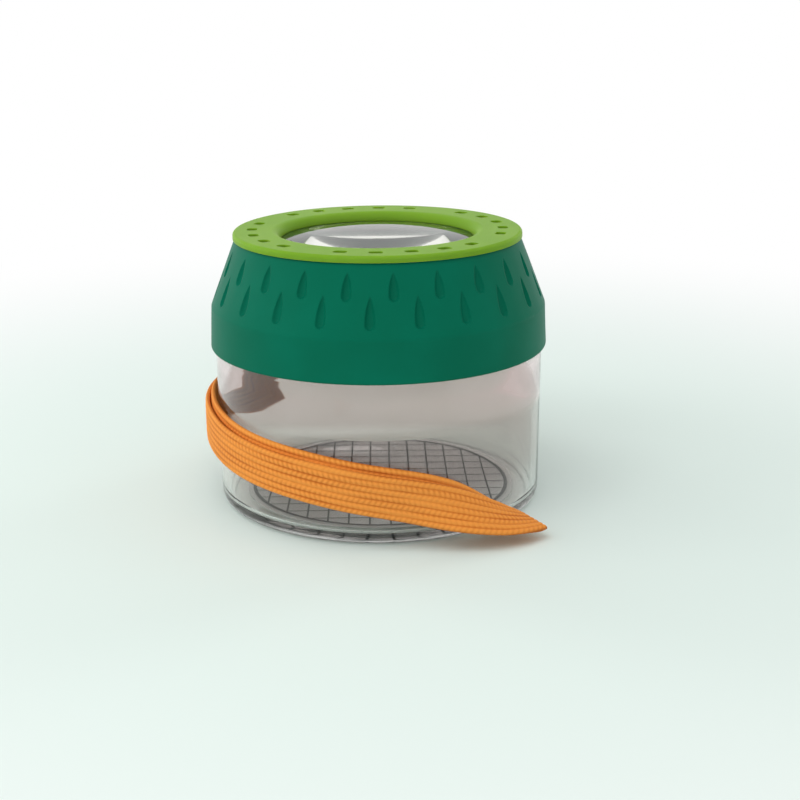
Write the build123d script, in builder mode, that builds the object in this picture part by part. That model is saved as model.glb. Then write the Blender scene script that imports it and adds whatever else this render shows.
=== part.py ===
# Bug catcher jar: a clear cup with a screw lid that carries a magnifying lens, air slots and a strap.
# Millimetres, +Z up. The origin is on the cup's axis, on the surface that the cup stands on.
# The view of the lid is from -Y, so the strap's lug is at the back, on the +Y side.

import os
from math import atan, cos, radians, sin, sqrt

from build123d import *

# Cup
cup_diameter = 81.8
cup_height = 39.5
cup_wall = 2.0
cup_floor = 2.2
cup_taper = 0.3
cup_corner = 2.0
foot_round = 2.6
neck_step = 1.9
neck_height = 8.0
neck_lead = 0.6
neck_blend = 12.0

# Printed film with the measuring grid
film_thickness = 0.25
film_margin = 2.4

# Lid shell
skirt_overhang = 1.1
skirt_wall = 1.8
skirt_height = 10.3
skirt_draft = 0.45
skirt_edge = 0.5
cone_height = 16.5
cone_wall = 2.0
cone_crease = 2.0
crown_diameter = 70.4
deck_thickness = 2.0

# Magnifying lens and its seat in the lid
lens_diameter = 53.0
lens_rim_width = 2.5
lens_rim_thickness = 1.5
lens_top_radius = 140.0
lens_bottom_radius = 60.0
lens_depth = 2.35
lens_clearance = 0.15
seat_wall = 1.8
seat_ledge = 1.6

# Bezel ring that closes over the lens
bezel_thickness = 1.6
bezel_overhang = 0.5
bezel_edge = 0.8
bezel_clearance = 0.05
lip_land = 0.1
post_diameter = 2.6
post_clearance = 0.1
post_head_diameter = 4.2
post_head_height = 1.0
post_head_taper = 30.0

# Air slots, in four groups, through the bezel and the lid's deck
slot_groups = 4
slots_in_group = 5
slot_pitch = 15.3
slot_phase = 14.5
slot_radial = 2.6
slot_tangential = 3.3
slot_corner = 0.9
slot_relief = 0.4

# Grip dimples on the lid's cone, in two staggered rows
dimple_count = 22
dimple_radius = 1.3
dimple_depth = 0.85
dimple_phase = 275.5
upper_dimple_top = 2.1
upper_dimple_length = 6.8
lower_dimple_top = 7.1
lower_dimple_length = 7.9

# Lug for the strap, on the lid's skirt
lug_angle = 75.0
lug_gap = 6.0
lug_wall = 1.4
lug_width = 18.0
lug_height = 8.0
lug_lift = 0.8
lug_flare = 17.0
lug_opening = 14.0
lug_round = 1.6
pocket_depth = 6.3
bar_diameter = 2.6
bar_lift = 2.4

# Strap of woven elastic, a loop whose two strands lie together
strap_width = 12.0
strand_thickness = 1.3
strand_gap = 0.2
strap_clearance = 0.15
strap_play = 0.4
strap_drop = 1.5
strap_nose = 1.0

# Where the strap's middle line runs after it leaves the lug: the angle round the cup, the distance from
# the cup's wall, the height above the ground, and the lean of the band, minus where its face turns up.
strap_route = [
    (75.7, 14.8, 34.6, -90),
    (77.7, 14.7, 31.6, -90),
    (80.8, 14.5, 29.7, -90),
    (84.4, 14.0, 28.8, -89),
    (91.0, 12.6, 28.3, -85),
    (99.0, 10.5, 28.1, -75),
    (108.0, 8.2, 28.1, -61),
    (118.0, 6.2, 28.1, -44),
    (129.0, 4.3, 28.1, -26),
    (140.0, 2.9, 28.0, -10),
    (151.0, 2.2, 27.8, -2),
    (162.0, 2.0, 27.3, 0),
    (173.0, 2.0, 26.2, 0),
    (184.0, 2.0, 24.4, 0),
    (195.0, 2.0, 22.2, 0),
    (206.0, 2.0, 20.4, 0),
    (217.0, 2.0, 19.3, 0),
    (228.0, 2.0, 18.4, 0),
    (239.0, 2.0, 17.6, 0),
    (250.0, 2.0, 16.6, 0),
    (261.0, 2.0, 15.3, 0),
    (272.0, 2.05, 14.0, -1),
    (282.0, 2.5, 12.5, -6),
    (291.0, 3.9, 10.6, -20),
    (299.0, 5.4, 8.3, -38),
    (306.0, 6.3, 6.1, -53),
    (312.0, 6.9, 4.3, -68),
    (317.0, 7.1, 2.9, -80),
]

# Places that follow from the sizes above
cup_radius = cup_diameter / 2
foot_radius = cup_radius - cup_taper
neck_radius = cup_radius - neck_step
lid_edge = cup_height
skirt_radius = cup_radius + skirt_overhang
shoulder_radius = skirt_radius - skirt_draft
shoulder_height = lid_edge + skirt_height
crown_radius = crown_diameter / 2
crown_height = shoulder_height + cone_height
cone_slope = (shoulder_radius - crown_radius) / cone_height
cone_tilt = atan(cone_slope)
cone_inside = cone_wall / cos(cone_tilt)
lens_radius = lens_diameter / 2
view_radius = lens_radius - lens_rim_width
bezel_top = crown_height + bezel_thickness
lens_rim_top = bezel_top - lens_depth - bezel_clearance
lens_rim_bottom = lens_rim_top - lens_rim_thickness
seat_radius = lens_radius + lens_clearance
seat_outside = seat_radius + seat_wall
lip_round = lens_depth - lip_land
slot_circle = (view_radius + lip_round + crown_radius + bezel_overhang) / 2
gap_phase = slot_phase + 180 / slot_groups
bar_radius = bar_diameter / 2
lug_block = strap_width + 2 * strap_play + 2 * lug_wall
bar_out = skirt_radius + lug_gap + lug_block / 2
lug_bottom = lid_edge + lug_lift
bar_height = lug_bottom + bar_lift
strap_thickness = 2 * strand_thickness + strand_gap
eye_radius = bar_radius + strap_clearance
eye_outside = eye_radius + strand_thickness
pocket_radial = strap_width + 2 * strap_play
pocket_tangential = 2 * (eye_outside + strap_play)
lug_direction = Vector(cos(radians(lug_angle)), sin(radians(lug_angle)), 0)
lug_across = Vector(-sin(radians(lug_angle)), cos(radians(lug_angle)), 0)
bar_plane = Plane(lug_direction * bar_out + Vector(0, 0, bar_height), lug_across, lug_direction)


def sag(sphere_radius, reach):
    """How far a spherical face falls away from its crown at a distance from its axis."""
    return sphere_radius - sqrt(sphere_radius**2 - reach**2)


def cone_radius(height):
    """The radius of the lid's cone at a height."""
    return shoulder_radius - cone_slope * (height - shoulder_height)


def lug_plane(out, height):
    """A plane whose X runs outwards through the lug and whose Y runs along the skirt."""
    return Plane(
        origin=lug_direction * out + Vector(0, 0, height),
        x_dir=lug_direction,
        z_dir=(0, 0, 1),
    )


def slot_outline(grow):
    """The air slots, all four groups of them, in the sketch that calls this."""
    for group in range(slot_groups):
        first = slot_phase + group * 360 / slot_groups - slot_pitch * (slots_in_group - 1) / 2
        with PolarLocations(
            slot_circle,
            slots_in_group,
            start_angle=first,
            angular_range=slot_pitch * (slots_in_group - 1),
            endpoint=True,
        ):
            RectangleRounded(slot_radial + grow, slot_tangential + grow, slot_corner)


# Cup: one moulding with a flat base, a step below its neck where the lid's edge seats,
# and an inside that narrows to the neck in a long soft curve
with BuildPart() as cup:
    with BuildSketch(Plane.XZ):
        with BuildLine():
            blend_top = (neck_radius - cup_wall, cup_height - neck_step)
            blend_bottom = (cup_radius - cup_wall, cup_height - neck_step - neck_blend)
            Polyline(
                blend_bottom,
                (foot_radius - cup_wall, cup_floor),
                (0, cup_floor),
                (0, 0),
                (foot_radius, 0),
                (cup_radius, cup_height),
                (neck_radius, cup_height),
                (neck_radius, cup_height + neck_height),
                (neck_radius - cup_wall, cup_height + neck_height),
                blend_top,
            )
            Spline(blend_top, blend_bottom, tangents=[(0, -1), (0, -1)])
        make_face()
    revolve(axis=Axis.Z)
    rings = cup.edges().filter_by(GeomType.CIRCLE).group_by(Axis.Z)
    fillet(rings[0], foot_round)
    fillet(rings[1], cup_corner)
    neck_top = cup.edges().filter_by(GeomType.CIRCLE).group_by(Axis.Z)[-1]
    chamfer(neck_top.sort_by(SortBy.RADIUS)[-1], neck_lead)

# Film: a clear disc with the measuring grid, laid on the floor of the cup
with BuildPart() as film:
    with BuildSketch(Plane.XY.offset(cup_floor)):
        Circle(foot_radius - cup_wall - cup_corner - film_margin)
    extrude(amount=film_thickness)

# Lens: two shallow spherical faces and a flat rim
with BuildPart() as lens:
    with BuildSketch(Plane.XZ):
        with BuildLine():
            top_crown = (0, lens_rim_top + sag(lens_top_radius, view_radius))
            top_middle = view_radius / 2
            top_edge = (view_radius, lens_rim_top)
            bottom_crown = (0, lens_rim_bottom - sag(lens_bottom_radius, view_radius))
            bottom_edge = (view_radius, lens_rim_bottom)
            ThreePointArc(
                top_crown,
                (top_middle, top_crown[1] - sag(lens_top_radius, top_middle)),
                top_edge,
            )
            Polyline(
                top_edge,
                (lens_radius, lens_rim_top),
                (lens_radius, lens_rim_bottom),
                bottom_edge,
            )
            ThreePointArc(
                bottom_edge,
                (top_middle, bottom_crown[1] + sag(lens_bottom_radius, top_middle)),
                bottom_crown,
            )
            Line(bottom_crown, top_crown)
        make_face()
    revolve(axis=Axis.Z)

# Bezel: the ring with the air slots, a rounded lip over the lens's rim and four posts staked under the deck
with BuildPart() as bezel:
    with BuildSketch(Plane.XZ):
        with BuildLine():
            lip_low = lens_rim_top + bezel_clearance
            Polyline(
                (view_radius + lip_round, bezel_top),
                (crown_radius + bezel_overhang, bezel_top),
                (crown_radius + bezel_overhang, crown_height),
                (lens_radius, crown_height),
                (lens_radius, lip_low),
                (view_radius, lip_low),
                (view_radius, bezel_top - lip_round),
            )
            RadiusArc(
                (view_radius, bezel_top - lip_round),
                (view_radius + lip_round, bezel_top),
                lip_round,
            )
        make_face()
    revolve(axis=Axis.Z)
    outer_top = bezel.edges().filter_by(GeomType.CIRCLE).group_by(Axis.Z)[-1]
    fillet(outer_top.sort_by(SortBy.RADIUS)[-1], bezel_edge)
    with BuildSketch(Plane.XY.offset(crown_height - deck_thickness)):
        slot_outline(0)
    extrude(amount=deck_thickness + bezel_thickness, mode=Mode.SUBTRACT)
    with BuildSketch(Plane.XY.offset(crown_height)):
        with PolarLocations(slot_circle, slot_groups, start_angle=gap_phase):
            Circle(post_diameter / 2)
    extrude(amount=-deck_thickness)
    with BuildSketch(Plane.XY.offset(crown_height - deck_thickness)):
        with PolarLocations(slot_circle, slot_groups, start_angle=gap_phase):
            Circle(post_head_diameter / 2)
    extrude(amount=-post_head_height, taper=post_head_taper)


def dimple_solid(top, length):
    """A bullet-shaped cutter that starts at a point on the cone and sinks into it down the slope."""
    down_slope = Vector(sin(cone_tilt), 0, -cos(cone_tilt))
    outward = Vector(cos(cone_tilt), 0, sin(cone_tilt))
    tip_height = crown_height - top
    tip = Vector(cone_radius(tip_height), 0, tip_height)
    middle = tip + down_slope * (length - dimple_radius) + outward * (dimple_radius - dimple_depth)
    reach = (middle - tip).length
    flank_radius = (reach**2 + dimple_radius**2) / (2 * dimple_radius)
    along = Plane(origin=tip, x_dir=(middle - tip).normalized(), z_dir=(0, 1, 0))
    with BuildPart() as bullet:
        with BuildSketch(along):
            with BuildLine():
                end_point = (reach + dimple_radius, 0)
                RadiusArc((0, 0), (reach, dimple_radius), flank_radius)
                RadiusArc((reach, dimple_radius), end_point, dimple_radius)
                Line(end_point, (0, 0))
            make_face()
        revolve(axis=Axis(tip, middle - tip))
    return bullet.part


upper_dimple = dimple_solid(upper_dimple_top, upper_dimple_length)
lower_dimple = dimple_solid(lower_dimple_top, lower_dimple_length)

# Lid shell: skirt, cone, deck with the lens's seat, and the lug, in one moulding
with BuildPart() as shell:
    with BuildSketch(Plane.XZ) as outside:
        with BuildLine():
            Polyline(
                (0, lid_edge),
                (skirt_radius, lid_edge),
                (shoulder_radius, shoulder_height),
                (crown_radius, crown_height),
                (0, crown_height),
                close=True,
            )
        make_face()
        shoulder = outside.vertices().sort_by_distance((shoulder_radius, shoulder_height))[0]
        fillet(shoulder, cone_crease)
    revolve(axis=Axis.Z)
    with BuildSketch(lug_plane(0, lug_bottom)):
        with BuildLine():
            block_in = skirt_radius + lug_gap
            block_out = block_in + lug_block
            flare_start = skirt_radius - lug_gap
            Polyline(
                (flare_start, -lug_flare),
                (block_in, -lug_width / 2),
                (block_out, -lug_width / 2),
                (block_out, lug_width / 2),
                (block_in, lug_width / 2),
                (flare_start, lug_flare),
                close=True,
            )
        make_face()
    extrude(amount=lug_height)
    lug_corners = shell.edges().filter_by(Axis.Z).sort_by_distance(
        lug_direction * (block_out + lug_block) + Vector(0, 0, lug_bottom)
    )
    fillet(lug_corners[:2], lug_round)
    with BuildSketch(lug_plane(skirt_radius + lug_gap / 2, lug_bottom)):
        RectangleRounded(lug_gap, lug_opening, lug_round)
    extrude(amount=lug_height, mode=Mode.SUBTRACT)
    with BuildSketch(lug_plane(bar_out, lug_bottom)):
        Rectangle(pocket_radial, pocket_tangential)
    extrude(amount=pocket_depth, mode=Mode.SUBTRACT)
    with BuildSketch(bar_plane):
        Circle(bar_radius)
    extrude(amount=pocket_radial / 2, both=True)
    with BuildSketch(Plane.XZ):
        with BuildLine():
            inside_start = skirt_radius - skirt_wall
            inside_corner = shoulder_height - (inside_start - shoulder_radius + cone_inside) / cone_slope
            deck_bottom = crown_height - deck_thickness
            ledge_bottom = lens_rim_bottom - bezel_clearance - seat_ledge
            Polyline(
                (0, lid_edge),
                (inside_start, lid_edge),
                (inside_start, inside_corner),
                (cone_radius(deck_bottom) - cone_inside, deck_bottom),
                (seat_outside, deck_bottom),
                (seat_outside, ledge_bottom),
                (0, ledge_bottom),
                close=True,
            )
        make_face()
    revolve(axis=Axis.Z, mode=Mode.SUBTRACT)
    with BuildSketch(Plane.XY.offset(lens_rim_bottom - bezel_clearance)):
        Circle(seat_radius)
    extrude(amount=crown_height - lens_rim_bottom + bezel_clearance, mode=Mode.SUBTRACT)
    with BuildSketch(Plane.XY.offset(ledge_bottom)):
        Circle(view_radius + lens_clearance)
    extrude(amount=seat_ledge, mode=Mode.SUBTRACT)
    with BuildSketch(Plane.XY.offset(deck_bottom)):
        slot_outline(slot_relief)
        with PolarLocations(slot_circle, slot_groups, start_angle=gap_phase):
            Circle(post_diameter / 2 + post_clearance)
    extrude(amount=deck_thickness, mode=Mode.SUBTRACT)
    skirt_rim = shell.edges().filter_by(GeomType.CIRCLE).group_by(Axis.Z)[0]
    fillet(skirt_rim.sort_by(SortBy.RADIUS)[-1], skirt_edge)
    with PolarLocations(0, dimple_count, start_angle=dimple_phase):
        add(upper_dimple, mode=Mode.SUBTRACT)
    with PolarLocations(0, dimple_count, start_angle=dimple_phase + 180 / dimple_count):
        add(lower_dimple, mode=Mode.SUBTRACT)


def strap_point(station):
    """A point of the strap's middle line from its angle, its distance from the cup's wall and its height."""
    angle, off_wall, height, lean = station
    out = cup_radius + off_wall
    return Vector(out * cos(radians(angle)), out * sin(radians(angle)), height)


def strap_plane(point, heading, lean):
    """The plane across the strap: X runs over its width and Y out of its face."""
    ahead = heading.normalized()
    outward = Vector(point.X, point.Y, 0).normalized()
    face = (outward - ahead * outward.dot(ahead)).normalized()
    across = face.cross(ahead)
    turned = across * cos(radians(lean)) + face * sin(radians(lean))
    return Plane(origin=point, x_dir=turned, z_dir=ahead)


strap_start = lug_direction * bar_out + Vector(0, 0, lid_edge - strap_drop)
strap_points = [strap_start] + [strap_point(station) for station in strap_route]
strap_leans = [strap_route[0][3]] + [station[3] for station in strap_route]
strap_headings = [Vector(0, 0, -1)]
for before, after in zip(strap_points, strap_points[2:]):
    strap_headings.append(after - before)
strap_headings.append(strap_points[-1] - strap_points[-2])

# Strap: the eye round the lug's bar, then the two strands together round the cup to the fold at their end
with BuildPart() as strap:
    for point, heading, lean in zip(strap_points, strap_headings, strap_leans):
        with BuildSketch(strap_plane(point, heading, lean)):
            Rectangle(strap_width, strap_thickness)
    nose_point = strap_points[-1] + strap_headings[-1].normalized() * strap_nose
    with BuildSketch(strap_plane(nose_point, strap_headings[-1], strap_leans[-1])):
        Rectangle(strap_width, strand_thickness)
    loft(ruled=True)
    eye_bottom = lid_edge - strap_drop - bar_height
    with BuildSketch(bar_plane):
        with BuildLine():
            RadiusArc((-eye_outside, 0), (eye_outside, 0), eye_outside)
            Polyline(
                (eye_outside, 0),
                (strap_thickness / 2, eye_bottom),
                (-strap_thickness / 2, eye_bottom),
                (-eye_outside, 0),
            )
        make_face()
        with BuildLine():
            RadiusArc((-eye_radius, 0), (eye_radius, 0), eye_radius)
            Polyline(
                (eye_radius, 0),
                (strand_gap / 2, eye_bottom + strand_thickness),
                (-strand_gap / 2, eye_bottom + strand_thickness),
                (-eye_radius, 0),
            )
        make_face(mode=Mode.SUBTRACT)
    extrude(amount=strap_width / 2, both=True)

strap_length = sum((b - a).length for a, b in zip(strap_points, strap_points[1:]))
flat_volume = strap_length * strap_width * strap_thickness
print(f"strap: {strap_length:.1f} mm from the lug to the fold, {strap_thickness:.1f} mm thick")
print(f"strap: volume {strap.part.volume:.0f}, section times length {flat_volume:.0f}")

pieces = {
    "jar_cup": cup.part,
    "grid_film": film.part,
    "lid_shell": shell.part,
    "bezel_ring": bezel.part,
    "magnifier_lens": lens.part,
    "carry_strap": strap.part,
}
os.makedirs("parts", exist_ok=True)
for name, piece in pieces.items():
    piece.label = name
    export_step(piece, f"parts/{name}.step")
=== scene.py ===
# Bug catcher jar: a clear cup with a measuring grid, a screw lid that holds a magnifying lens, and a strap.
# Metres, +Z up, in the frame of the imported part. The picture is taken from -Y.

import math

import bmesh
import bpy
import numpy as np
from mathutils import Matrix, Vector


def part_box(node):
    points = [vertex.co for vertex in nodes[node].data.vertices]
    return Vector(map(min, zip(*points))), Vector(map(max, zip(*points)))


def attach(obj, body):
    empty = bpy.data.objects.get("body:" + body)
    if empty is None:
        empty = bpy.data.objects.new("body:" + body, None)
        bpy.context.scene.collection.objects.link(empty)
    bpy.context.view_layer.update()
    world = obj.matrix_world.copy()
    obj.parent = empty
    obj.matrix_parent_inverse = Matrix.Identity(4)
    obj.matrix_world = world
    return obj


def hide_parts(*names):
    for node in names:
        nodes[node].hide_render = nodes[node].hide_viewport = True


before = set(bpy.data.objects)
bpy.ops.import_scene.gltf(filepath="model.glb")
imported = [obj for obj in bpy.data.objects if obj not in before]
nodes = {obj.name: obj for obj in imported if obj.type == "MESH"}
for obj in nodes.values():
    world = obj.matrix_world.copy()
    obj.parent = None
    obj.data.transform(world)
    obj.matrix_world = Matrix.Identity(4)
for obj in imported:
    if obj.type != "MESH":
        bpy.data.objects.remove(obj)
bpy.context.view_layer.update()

# Cup: one clear moulding of plant-based plastic with a flat base, a thin wall and a neck.
# The mould leaves soft waves in the wall, and handling a few faint smears.
# Its foot is painted paler than its wall, a painted glow that lightens the dim base, and nearly all light
# goes through it.
plastic_index = 1.46
light_let_through = 0.95
painted_glow_below = 0.005
painted_glow_ends = 0.016
wave_depth = 0.0006


class Wire:
    """A node's output in a material. Operators on it add Math nodes, and add() adds any other node."""

    def __init__(self, tree, socket):
        self.tree = tree
        self.socket = socket

    def fill(self, node, sockets):
        """Sets a node's sockets to values, or links wires to them."""
        for key, value in sockets.items():
            if isinstance(value, Wire):
                self.tree.links.new(value.socket, node.inputs[key])
            else:
                node.inputs[key].default_value = value

    def add(self, kind, settings, sockets, output=0):
        """A node of that kind, with its settings made first, then its sockets filled or linked."""
        node = self.tree.nodes.new(kind)
        for key, value in settings.items():
            setattr(node, key, value)
        self.fill(node, sockets)
        return Wire(self.tree, node.outputs[output])

    def maths(self, operation, *others):
        """A Math node on this wire and on the others that its operation takes."""
        return self.add("ShaderNodeMath", {"operation": operation}, dict(enumerate((self, *others))))

    def __add__(self, other):
        return self.maths("ADD", other)

    def __sub__(self, other):
        return self.maths("SUBTRACT", other)

    def __rsub__(self, other):
        return self.add("ShaderNodeMath", {"operation": "SUBTRACT"}, {0: other, 1: self})

    def __mul__(self, other):
        return self.maths("MULTIPLY", other)

    def __pow__(self, other):
        return self.maths("POWER", other)

    __radd__ = __add__
    __rmul__ = __mul__

    def step(self, start, end):
        """0 before start, 1 after end and a smooth rise between them."""
        return self.add(
            "ShaderNodeMapRange",
            {"interpolation_type": "SMOOTHSTEP"},
            {"Value": self, "From Min": start, "From Max": end},
        )

    def mix(self, low, high):
        """A colour that goes from low to high with this wire. A Mix node has its colours in 6 and 7."""
        return self.add("ShaderNodeMix", {"data_type": "RGBA"}, {0: self, 6: low, 7: high}, 2)

    def part(self, name):
        """One part, X, Y or Z, of this wire's coordinates."""
        return self.add("ShaderNodeSeparateXYZ", {}, {0: self}, name)

    def length(self):
        """How far this wire's coordinates are from the origin."""
        return self.add("ShaderNodeVectorMath", {"operation": "LENGTH"}, {0: self}, "Value")

    def noise(self, scale, detail=3.0, stretch=(1.0, 1.0, 1.0)):
        """Noise over this wire's coordinates, with so many blobs in a metre."""
        placed = self.add("ShaderNodeMapping", {}, {"Vector": self, "Scale": stretch})
        return self.add("ShaderNodeTexNoise", {}, {"Vector": placed, "Scale": scale, "Detail": detail})

    def bump(self, depth, edge=0.0):
        """The normal of a surface that this wire raises by up to a depth, with its sharp edges rounded."""
        sockets = {"Height": self, "Distance": depth}
        if edge:
            sockets["Normal"] = self.add("ShaderNodeBevel", {"samples": 6}, {"Radius": edge})
        return self.add("ShaderNodeBump", {}, sockets)


def colour(red, green, blue):
    """A display colour, with channels to 255, as a shader's linear one."""
    display_gamma = 2.2
    return tuple((channel / 255) ** display_gamma for channel in (red, green, blue)) + (1.0,)


def new_material(name):
    """A material, its Object coordinates, and a function that sets the sockets of its one shader."""
    material = bpy.data.materials.new(name)
    material.use_nodes = True
    tree = material.node_tree
    shader = tree.nodes["Principled BSDF"]
    place = Wire(tree, tree.nodes.new("ShaderNodeTexCoord").outputs["Object"])

    def set_shader(sockets):
        place.fill(shader, sockets)

    return material, place, set_shader


def clear_to_light(place):
    """The Alpha of a clear piece: whole for the eye, and nearly none for the light that passes through."""
    shadow = place.add("ShaderNodeLightPath", {}, {}, "Is Shadow Ray")
    return 1.0 - light_let_through * shadow


def dress(piece, material):
    """Gives a piece one material."""
    piece.data.materials.clear()
    piece.data.materials.append(material)


clear_plastic, place, set_shader = new_material("clear_plastic")
waves = place.noise(38.0, 1.0, (1.0, 1.0, 0.25))
smears = place.noise(60.0, 4.0, (1.0, 1.0, 0.4))
wall_tint = smears.step(0.35, 0.75).mix(colour(222, 212, 210), colour(218, 208, 205))
# Painted glow: the colour is near white at the foot and turns to the wall's tint higher up, which lightens
# the base.
above_painted_glow = place.part("Z").step(painted_glow_below, painted_glow_ends)
set_shader(
    {
        "Base Color": above_painted_glow.mix(colour(248, 247, 245), wall_tint),
        "Roughness": 0.03 + 0.05 * smears.step(0.5, 0.8),
        "Alpha": clear_to_light(place),
        "Normal": waves.bump(wave_depth),
        "IOR": plastic_index,
        "Transmission Weight": 1.0,
    }
)
dress(nodes["jar_cup"], clear_plastic)

# Neck thread: three clear ridges on the cup's neck, moulded with it, that the lid's ridges pull under.
# Each ridge climbs a little less than a third of the thread's lead and runs out into the wall at both ends.
thread_lead = 0.01194
thread_starts = 3
ridge_turn = math.radians(104)
ridge_steps = 64
ridge_base = 0.0015
ridge_crest = 0.0006
ridge_height = 0.0009
ridge_root = 0.0002
ridge_runout = math.radians(14)
neck_radius = 0.039
neck_ridge_height = 0.0426


def new_piece(name, bm, material, body):
    """Turns a bmesh into a smooth piece that rides on a body."""
    mesh = bpy.data.meshes.new(name)
    bm.to_mesh(mesh)
    bm.free()
    mesh.shade_smooth()
    piece = bpy.data.objects.new(name, mesh)
    bpy.context.scene.collection.objects.link(piece)
    dress(piece, material)
    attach(piece, body)
    return piece


def thread_ridges(wall_radius, height, outward):
    """Helical ridges on a round wall, with outward 1 on its outside and -1 on its inside."""
    bm = bmesh.new()
    section = [
        (-ridge_root, -ridge_base / 2),
        (ridge_height, -ridge_crest / 2),
        (ridge_height, ridge_crest / 2),
        (-ridge_root, ridge_base / 2),
    ]
    corners = [bm.verts.new((wall_radius + outward * rise, 0, height + up)) for rise, up in section]
    sides = [bm.edges.new(pair) for pair in zip(corners, corners[1:] + corners[:1])]
    climb = thread_lead * ridge_turn / (2 * math.pi)
    bmesh.ops.spin(
        bm,
        geom=corners + sides,
        cent=(0, 0, 0),
        axis=(0, 0, 1),
        dvec=(0, 0, climb / ridge_steps),
        angle=ridge_turn,
        steps=ridge_steps,
    )
    for vert in bm.verts:
        radius = vert.co.xy.length
        rise = max(0.0, (radius - wall_radius) * outward)
        turned = math.atan2(vert.co.y, vert.co.x)
        nearest_end = max(0.0, min(turned, ridge_turn - turned))
        kept = math.sin(min(1.0, nearest_end / ridge_runout) * math.pi / 2)
        vert.co.xy *= (radius - outward * rise * (1 - kept)) / radius
    open_edges = [edge for edge in bm.edges if edge.is_boundary]
    bmesh.ops.holes_fill(bm, edges=open_edges, sides=len(section))
    bmesh.ops.recalc_face_normals(bm, faces=bm.faces)
    ridge = bm.verts[:] + bm.edges[:] + bm.faces[:]
    for start in range(1, thread_starts):
        copied = bmesh.ops.duplicate(bm, geom=ridge)["geom"]
        bmesh.ops.rotate(
            bm,
            cent=(0, 0, 0),
            matrix=Matrix.Rotation(2 * math.pi * start / thread_starts, 3, "Z"),
            verts=[item for item in copied if isinstance(item, bmesh.types.BMVert)],
        )
    return bm


neck_ridges = thread_ridges(neck_radius, neck_ridge_height, 1)
new_piece("neck_thread", neck_ridges, clear_plastic, "jar")

# Grid film: a disc of clear plastic film that lies on the cup's floor, printed with fine black squares
# for measuring a find. The print stops at a ring near the disc's edge.
grid_pitch = 0.005
grid_line = 0.00048
grid_reach = 0.0325
line_blur = 0.00004
ring_blur = 0.00005


def printed_lines(coordinate):
    """1 on the lines of a grid across one coordinate, in metres."""
    off_line = (coordinate + grid_pitch / 2).maths("PINGPONG", grid_pitch / 2)
    return off_line.step(grid_line / 2 + line_blur, grid_line / 2 - line_blur)


grid_film, place, set_shader = new_material("grid_film")
from_middle = place.length()
inside = from_middle.step(grid_reach + ring_blur, grid_reach - ring_blur)
off_ring = (from_middle - grid_reach).maths("ABSOLUTE")
ring = off_ring.step(grid_line + ring_blur, grid_line - ring_blur)
lines = printed_lines(place.part("X")).maths("MAXIMUM", printed_lines(place.part("Y"))) * inside
ink = lines.maths("MAXIMUM", ring)
set_shader(
    {
        "Base Color": ink.mix(colour(250, 250, 247), colour(24, 24, 26)),
        "Roughness": 0.18 + 0.25 * ink,
        "Alpha": 0.40 + 0.58 * ink,
        "IOR": plastic_index,
    }
)
dress(nodes["grid_film"], grid_film)

# Lid shell: one moulding of satin green plastic, with two rows of grip dimples, the lens's seat and the lug.
# Flow in the mould leaves faint clouds in the colour, and the tool's texture a very fine grain.
grain_in_metre = 5200.0
grain_depth = 0.00001
grain_roughness = 0.10


def satin_plastic(name, clouds_in_metre, dark, light, smoothest, edge, finish):
    """A moulded plastic with faint clouds in its colour, a fine grain and rounded edges."""
    material, place, set_shader = new_material(name)
    clouds = place.noise(clouds_in_metre)
    grain = place.noise(grain_in_metre, 2.0)
    set_shader(
        {
            "Base Color": clouds.step(0.3, 0.7).mix(colour(*dark), colour(*light)),
            "Roughness": smoothest + grain_roughness * grain,
            "Normal": grain.bump(grain_depth, edge),
            "IOR": plastic_index,
        }
    )
    set_shader(finish)
    return material


green_plastic = satin_plastic(
    "green_plastic",
    clouds_in_metre=45.0,
    dark=(0, 100, 77),
    light=(3, 106, 83),
    smoothest=0.40,
    edge=0.0005,
    finish={"Specular IOR Level": 0.07},
)
dress(nodes["lid_shell"], green_plastic)

# Lid thread: three ridges inside the lid's skirt, half a pitch under those of the neck.
# They are part of the lid's moulding and pull its edge down on the cup's step.
skirt_inside = 0.0402
lid_ridge_height = neck_ridge_height - thread_lead / thread_starts / 2
lid_ridges = thread_ridges(skirt_inside, lid_ridge_height, -1)
new_piece("lid_thread", lid_ridges, green_plastic, "lid")

# Lens: a clear acrylic magnifier, polished on both faces, that lies in the lid's seat.
# A few faint smears show where it has been wiped.
# It magnifies mildly, so its index is set under that of acrylic.
lens_index = 1.36
lens_acrylic, place, set_shader = new_material("lens_acrylic")
wiped = place.noise(55.0, 3.0, (1.0, 0.3, 1.0))
set_shader(
    {
        "Base Color": colour(244, 245, 236),
        "Roughness": 0.01 + 0.03 * wiped.step(0.55, 0.8),
        "Alpha": clear_to_light(place),
        "IOR": lens_index,
        "Transmission Weight": 1.0,
    }
)
dress(nodes["magnifier_lens"], lens_acrylic)

# Bezel ring: a lime ring with air slots that closes over the lens and is staked to the lid by four posts.
# It is moulded in satin plastic, like the lid, and lets a little light into its surface.
lime_plastic = satin_plastic(
    "lime_plastic",
    clouds_in_metre=60.0,
    dark=(114, 156, 46),
    light=(120, 161, 52),
    smoothest=0.38,
    edge=0.00025,
    finish={
        "Specular IOR Level": 0.06,
        "Subsurface Weight": 0.6,
        "Subsurface Radius": (1.0, 1.0, 0.3),
        "Subsurface Scale": 0.002,
    },
)
dress(nodes["bezel_ring"], lime_plastic)

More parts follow.
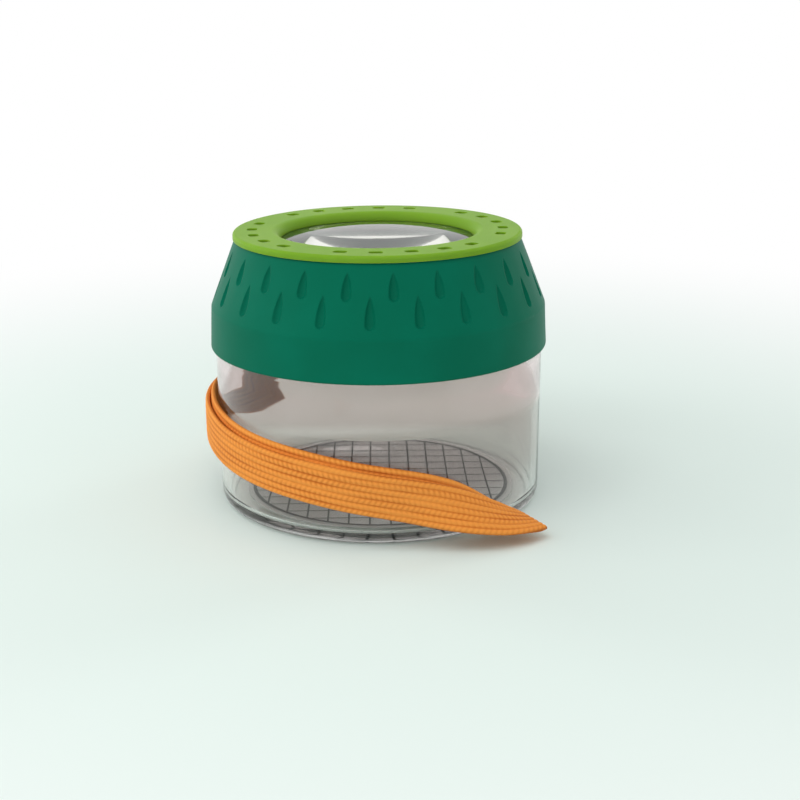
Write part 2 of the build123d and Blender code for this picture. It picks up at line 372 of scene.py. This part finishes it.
# Strap: a loop of flat braided elastic round the bar in the lid's lug, with its two strands lying together.
# Its middle line has a point for each place where the real strap is held, bends or lies on the cup:
# the angle round the cup in degrees, the distance off its wall, the height, and the band's lean in degrees.
cup_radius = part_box("jar_cup")[1].x
lug_angle = math.radians(75.0)
bar_out = 0.0558
bar_height = 0.0427
bar_radius = 0.0013
strap_top = 0.038
strap_route = [
    (75.7, 0.0148, 0.0346, -90),
    (77.7, 0.0147, 0.0316, -90),
    (80.8, 0.0145, 0.0297, -90),
    (84.4, 0.0140, 0.0288, -89),
    (91.0, 0.0126, 0.0281, -85),
    (99.0, 0.0105, 0.0276, -75),
    (108.0, 0.0082, 0.0271, -61),
    (118.0, 0.0062, 0.0264, -44),
    (129.0, 0.0043, 0.0255, -26),
    (140.0, 0.0029, 0.0246, -10),
    (151.0, 0.0022, 0.0238, -2),
    (162.0, 0.0020, 0.0232, 0),
    (173.0, 0.0020, 0.0228, 0),
    (184.0, 0.0020, 0.0223, 0),
    (195.0, 0.0020, 0.0215, 0),
    (206.0, 0.0020, 0.0204, 0),
    (217.0, 0.0020, 0.0193, 0),
    (228.0, 0.0020, 0.0184, 0),
    (239.0, 0.0020, 0.0176, 0),
    (250.0, 0.0020, 0.0166, 0),
    (261.0, 0.0020, 0.0153, 0),
    (272.0, 0.00205, 0.0140, -1),
    (282.0, 0.0025, 0.0125, -6),
    (291.0, 0.0039, 0.0106, -20),
    (299.0, 0.0054, 0.0083, -38),
    (306.0, 0.0063, 0.0061, -53),
    (312.0, 0.0069, 0.0043, -68),
    (317.0, 0.0071, 0.0029, -80),
]
line_steps = 48
strand_width = 0.0103
strand_thickness = 0.0013
strand_gap = 0.0002
strand_offset = 0.00085
offset_run = 0.06
fold_steps = 12
eye_clearance = 0.00015
eye_side_points = 10
eye_over_points = 20
ribs = 7
rib_segments = 4
rib_depth = 0.3
rib_roundness = 0.6
edge_squareness = 10
bead_pitch = 0.00128
bead_steps = 4
bead_height = 0.00011
bead_slant = 0.5
seam_reach = 1e-7

lug_out = Vector((math.cos(lug_angle), math.sin(lug_angle), 0))
strap_exit = lug_out * bar_out + Vector((0, 0, strap_top))
route_angles, route_distances, route_heights, route_leans = zip(*strap_route)
line_points = [strap_exit]
for angle, off_wall, height in zip(route_angles, route_distances, route_heights):
    turned = math.radians(angle)
    out = cup_radius + off_wall
    line_points.append(Vector((out * math.cos(turned), out * math.sin(turned), height)))
line_curve = bpy.data.curves.new("strap_line", "CURVE")
line_curve.dimensions = "3D"
spline = line_curve.splines.new("NURBS")
spline.points.add(len(line_points) - 1)
for spline_point, point in zip(spline.points, line_points):
    spline_point.co = (*point, 1.0)
spline.order_u = 3
spline.use_endpoint_u = True
spline.resolution_u = line_steps
line_object = bpy.data.objects.new("strap_line", line_curve)
line_mesh = bpy.data.meshes.new_from_object(line_object)
line = np.array([vert.co for vert in line_mesh.vertices])
bpy.data.objects.remove(line_object)


def unit(vectors):
    """Vectors of length 1."""
    return vectors / np.linalg.norm(vectors, axis=-1, keepdims=True)


def smooth(share):
    """A smooth rise from 0 to 1."""
    held = np.clip(share, 0, 1)
    return held * held * (3 - 2 * held)


def run_along(points):
    """How far along a line each of its points is."""
    return np.concatenate([[0], np.cumsum(np.linalg.norm(np.diff(points, axis=0), axis=1))])


run = run_along(line)
line_length = run[-1]
stations = np.linspace(0, line_length, round(line_length / bead_pitch * bead_steps) + 1)
middle = np.stack([np.interp(stations, run, line[:, axis]) for axis in range(3)], axis=1)
ahead = unit(np.gradient(middle, axis=0))
ahead[0] = (0, 0, -1)
outward = unit(middle * (1, 1, 0))
face = unit(outward - ahead * np.sum(outward * ahead, axis=1, keepdims=True))
angles = np.degrees(np.arctan2(middle[:, 1], middle[:, 0])) % 360
lean = np.radians(np.interp(angles, route_angles, route_leans))[:, None]
widthways = np.cross(face, ahead) * np.cos(lean) + face * np.sin(lean)
normal = np.cross(ahead, widthways)

# The band's own line goes down the outer strand, round the fold, back up the inner strand
# and over the lug's bar.
off_middle = (strand_thickness + strand_gap) / 2
shift = strand_offset * smooth(stations / offset_run)[:, None]
outer_strand = middle + normal * off_middle - widthways * shift
inner_strand = middle - normal * off_middle + widthways * shift
fold_turn = np.linspace(0, math.pi, fold_steps + 1)[1:-1, None]
fold = (
    middle[-1]
    + off_middle * (normal[-1] * np.cos(fold_turn) + ahead[-1] * np.sin(fold_turn))
    - widthways[-1] * shift[-1] * np.cos(fold_turn)
)
eye_radius = bar_radius + eye_clearance + strand_thickness / 2
eye_rise = np.linspace(0, 1, eye_side_points)[1:-1, None]
eye_turn = np.linspace(0, math.pi, eye_over_points)[:, None]
spread = off_middle + (eye_radius - off_middle) * smooth(eye_rise)
tangent = normal[0]
up = np.array((0.0, 0.0, 1.0))
climb = (bar_height - strap_top) * eye_rise
bar_middle = np.array(lug_out * bar_out + Vector((0, 0, bar_height)))
eye_up = middle[0] - tangent * spread + up * climb
eye_over = bar_middle + eye_radius * (up * np.sin(eye_turn) - tangent * np.cos(eye_turn))
eye_down = (middle[0] + tangent * spread + up * climb)[::-1]
eye = np.concatenate([eye_up, eye_over, eye_down])
band = np.concatenate([outer_strand, fold, inner_strand[::-1], eye, outer_strand[:1]])
fold_width = np.repeat(widthways[-1:], len(fold), axis=0)
eye_width = np.repeat(widthways[:1], len(eye) + 1, axis=0)
band_width = np.concatenate([widthways, fold_width, widthways[::-1], eye_width])
band_ahead = np.gradient(band, axis=0)
band_ahead[0] = band_ahead[-1] = band[1] - band[-2]
band_normal = unit(np.cross(unit(band_ahead), band_width))
band_run = run_along(band)
beads = round(band_run[-1] / bead_pitch)

# The band's surface is a flat grid rolled round its section, with a rounded rib for each braided row.
around = 2 * ribs * rib_segments
last_ring = len(band) - 1


def ring_of(vert):
    """The number of the band's section that a vertex of the flat grid goes to."""
    return round((vert.co.y + 0.5) * last_ring)


bm = bmesh.new()
bmesh.ops.create_grid(bm, x_segments=around, y_segments=last_ring, size=0.5)
sheet_uv = bm.loops.layers.uv.new("band")
for grid_face in bm.faces:
    for loop in grid_face.loops:
        loop[sheet_uv].uv = (loop.vert.co.x + 0.5, band_run[ring_of(loop.vert)] / band_run[-1])
for vert in bm.verts:
    ring_index = ring_of(vert)
    round_share = vert.co.x + 0.5
    side = 1 if round_share < 0.5 else -1
    share = 1 - abs(2 * round_share - 1)
    rib_wave = abs(math.sin(math.pi * ribs * share)) ** rib_roundness
    edge = (1 - abs(2 * share - 1) ** edge_squareness) ** 0.5
    rib_number = min(int(share * ribs), ribs - 1)
    slant = (share * ribs - rib_number - 0.5) * (bead_slant if rib_number % 2 else -bead_slant)
    bead_phase = beads * band_run[ring_index] / band_run[-1] + slant
    bead = bead_height * rib_wave * (0.5 + 0.5 * math.cos(2 * math.pi * bead_phase))
    half = strand_thickness / 2
    raised = side * edge * (half * (1 - rib_depth * (1 - rib_wave)) - bead_height + bead)
    sideways = (share - 0.5) * strand_width
    vert.co = Vector(band[ring_index] + band_width[ring_index] * sideways + band_normal[ring_index] * raised)
bmesh.ops.remove_doubles(bm, verts=bm.verts, dist=seam_reach)
bmesh.ops.recalc_face_normals(bm, faces=bm.faces)

# The webbing's grooves are painted darker, a painted shade that is stronger in some stretches than in
# others, and the webbing is hairy with fine fibres.
bead_share = 0.4
faintest_groove_shade = 0.35
fibre_shade = 0.25
fibre_relief = 0.35
braid_depth = 0.0001
orange_webbing, place, set_shader = new_material("orange_webbing")
on_band = place.add("ShaderNodeUVMap", {"uv_map": "band"}, {})
off_edge = on_band.part("X") * 2.0 - 1.0
rib_place = (1.0 - off_edge.maths("ABSOLUTE")) * ribs
in_rib = rib_place.maths("FRACT")
ridge = (in_rib * math.pi).maths("SINE") ** rib_roundness
odd_rib = (rib_place * 0.5).maths("FRACT").step(0.4999, 0.5001)
slant = (in_rib - 0.5) * (odd_rib * (2 * bead_slant) - bead_slant)
bead_turn = (on_band.part("Y") * beads + slant) * (2 * math.pi)
bead = bead_turn.maths("COSINE") * 0.5 + 0.5
relief = ridge * (1 - bead_share + bead_share * bead)
fibres = place.noise(3800.0, 3.0)
groove_shade_patches = on_band.noise(1.0, 2.0, (14.0, 16.0, 1.0)).step(0.3, 0.7)
groove_shade_strength = faintest_groove_shade + (1 - faintest_groove_shade) * groove_shade_patches
groove_shade_and_fibres = (1.0 - relief) * groove_shade_strength + (fibres - 0.5) * fibre_shade
set_shader(
    {
        # The darker colour in the grooves is painted shade; the fibres add a random tone to it.
        "Base Color": groove_shade_and_fibres.step(0.0, 0.9).mix(colour(240, 151, 63), colour(190, 97, 20)),
        "Roughness": 0.72 + 0.15 * fibres,
        "Normal": (relief + fibres * fibre_relief).bump(braid_depth),
        "Sheen Weight": 0.15,
        "Sheen Roughness": 0.4,
        "Sheen Tint": colour(240, 170, 100),
    }
)
carry_strap = new_piece("strap_band", bm, orange_webbing, "lid")
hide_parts("carry_strap")

# Sewing: rows of orange thread across both strands just under the lug, which close the loop.
# Each stitch is a short thread laid on the band's outer faces.
stitch_rows = 5
stitches_in_row = 5
stitch_first = 0.0035
stitch_spacing = 0.0009
stitch_length = 0.0017
stitch_width = 0.00034
stitch_lean = math.radians(22)
sewn_share = 0.88
bm = bmesh.new()
for row in range(stitch_rows):
    ring_index = round((stitch_first + row * stitch_spacing) / bead_pitch * bead_steps)
    turned = Matrix((widthways[ring_index], -ahead[ring_index], normal[ring_index])).transposed()
    lean_turn = Matrix.Rotation(stitch_lean if row % 2 else -stitch_lean, 3, "Z")
    for strand, strand_side in ((outer_strand, 1), (inner_strand, -1)):
        for column in range(stitches_in_row):
            sideways = ((column + 0.5) / stitches_in_row - 0.5) * strand_width * sewn_share
            middle_point = (
                strand[ring_index]
                + widthways[ring_index] * sideways
                + normal[ring_index] * strand_side * strand_thickness / 2
            )
            made = bmesh.ops.create_icosphere(bm, subdivisions=2, radius=0.5)["verts"]
            bmesh.ops.scale(bm, vec=(stitch_length, stitch_width, stitch_width), verts=made)
            bmesh.ops.rotate(bm, cent=(0, 0, 0), matrix=turned @ lean_turn, verts=made)
            bmesh.ops.translate(bm, vec=middle_point, verts=made)
sewing_thread, place, set_shader = new_material("sewing_thread")
ply = place.noise(6000.0, 2.0)
set_shader(
    {
        "Base Color": ply.mix(colour(206, 118, 44), colour(236, 152, 72)),
        "Roughness": 0.6 + 0.2 * ply,
        "Normal": ply.bump(0.00004),
    }
)
sewing = new_piece("strap_sewing", bm, sewing_thread, "lid")

# Floor: a plain pale surface, painted matt, that keeps the jar's shadow.
# Away from the jar it turns to white. It lies just under the cup's base, so that the two faces are apart.
floor_reach = 3.0
floor_gap = 0.0002
pale_within = 0.09
white_beyond = 0.34
plain_white = (1, 1, 1, 1)


def looking_rays(tree):
    """1 for the rays that see the background: the camera's own, and those from gloss and clear pieces."""
    path = tree.nodes.new("ShaderNodeLightPath")
    seen = Wire(tree, path.outputs["Is Camera Ray"])
    for name in ("Is Glossy Ray", "Is Transmission Ray"):
        seen = seen.maths("MAXIMUM", Wire(tree, path.outputs[name]))
    return seen


floor_paint, place, set_shader = new_material("floor_paint")
set_shader({"Base Color": colour(228, 241, 235), "Roughness": 0.9, "Specular IOR Level": 0.1})
tree = floor_paint.node_tree
far_away = place.length().step(pale_within, white_beyond)
white = place.add("ShaderNodeEmission", {}, {"Color": plain_white, "Strength": 1.0})
lit = Wire(tree, tree.nodes["Principled BSDF"].outputs[0])
shown = place.add("ShaderNodeMixShader", {}, {0: far_away * looking_rays(tree), 1: lit, 2: white})
tree.links.new(shown.socket, tree.nodes["Material Output"].inputs["Surface"])
bm = bmesh.new()
bmesh.ops.create_grid(bm, x_segments=1, y_segments=1, size=floor_reach)
bmesh.ops.translate(bm, vec=(0, 0, -floor_gap), verts=bm.verts)
floor_mesh = bpy.data.meshes.new("floor")
bm.to_mesh(floor_mesh)
bm.free()
floor = bpy.data.objects.new("floor", floor_mesh)
bpy.context.scene.collection.objects.link(floor)
dress(floor, floor_paint)

# Light: an even pale room, with soft lamps on the left and above, and two tall ones behind the jar
# that lighten its sides. The lamps leave no outline in the clear pieces.
room_light = (0.60, 0.60, 0.60, 1)
world = bpy.data.worlds.new("studio")
world.use_nodes = True
bpy.context.scene.world = world
tree = world.node_tree
sky = looking_rays(tree).mix(room_light, plain_white)
tree.links.new(sky.socket, tree.nodes["Background"].inputs["Color"])
aim = Vector((0, 0, 0.03))
for name, stand, width, height, power in (
    ("key_lamp", (-0.80, -0.20, 0.45), 0.6, 0.6, 1.7),
    ("top_lamp", (-0.20, -0.45, 0.80), 0.7, 0.7, 3.0),
    ("left_strip", (-0.62, 0.50, 0.26), 0.25, 0.7, 1.2),
    ("right_strip", (0.66, 0.52, 0.26), 0.25, 0.7, 1.4),
):
    lamp = bpy.data.lights.new(name, "AREA")
    lamp.shape = "RECTANGLE"
    lamp.size = width
    lamp.size_y = height
    lamp.energy = power
    lamp_object = bpy.data.objects.new(name, lamp)
    lamp_object.location = stand
    lamp_object.rotation_euler = (aim - Vector(stand)).to_track_quat("-Z", "Y").to_euler()
    lamp_object.visible_glossy = False
    lamp_object.visible_transmission = False
    bpy.context.scene.collection.objects.link(lamp_object)

# Camera: the view of the photograph, in front of the jar and a little above its lid.
# Its focal length, and the jar's middle in the picture, are in pixels.
picture = 800
focal_pixels = 1486
middle_pixel = 379.2
camera_place = Vector((0, -0.3637, 0.1326))
camera_down = math.radians(16.68)
camera_roll = math.radians(-0.63)
camera = bpy.data.cameras.new("camera")
camera.lens = focal_pixels / picture * camera.sensor_width
camera.shift_x = 0.5 - middle_pixel / picture
camera.clip_start = 0.01
camera_object = bpy.data.objects.new("camera", camera)
camera_object.matrix_world = (
    Matrix.Translation(camera_place)
    @ Matrix.Rotation(math.pi / 2 - camera_down, 4, "X")
    @ Matrix.Rotation(camera_roll, 4, "Z")
)
bpy.context.scene.collection.objects.link(camera_object)
bpy.context.scene.camera = camera_object
bpy.context.scene.view_settings.view_transform = "Standard"
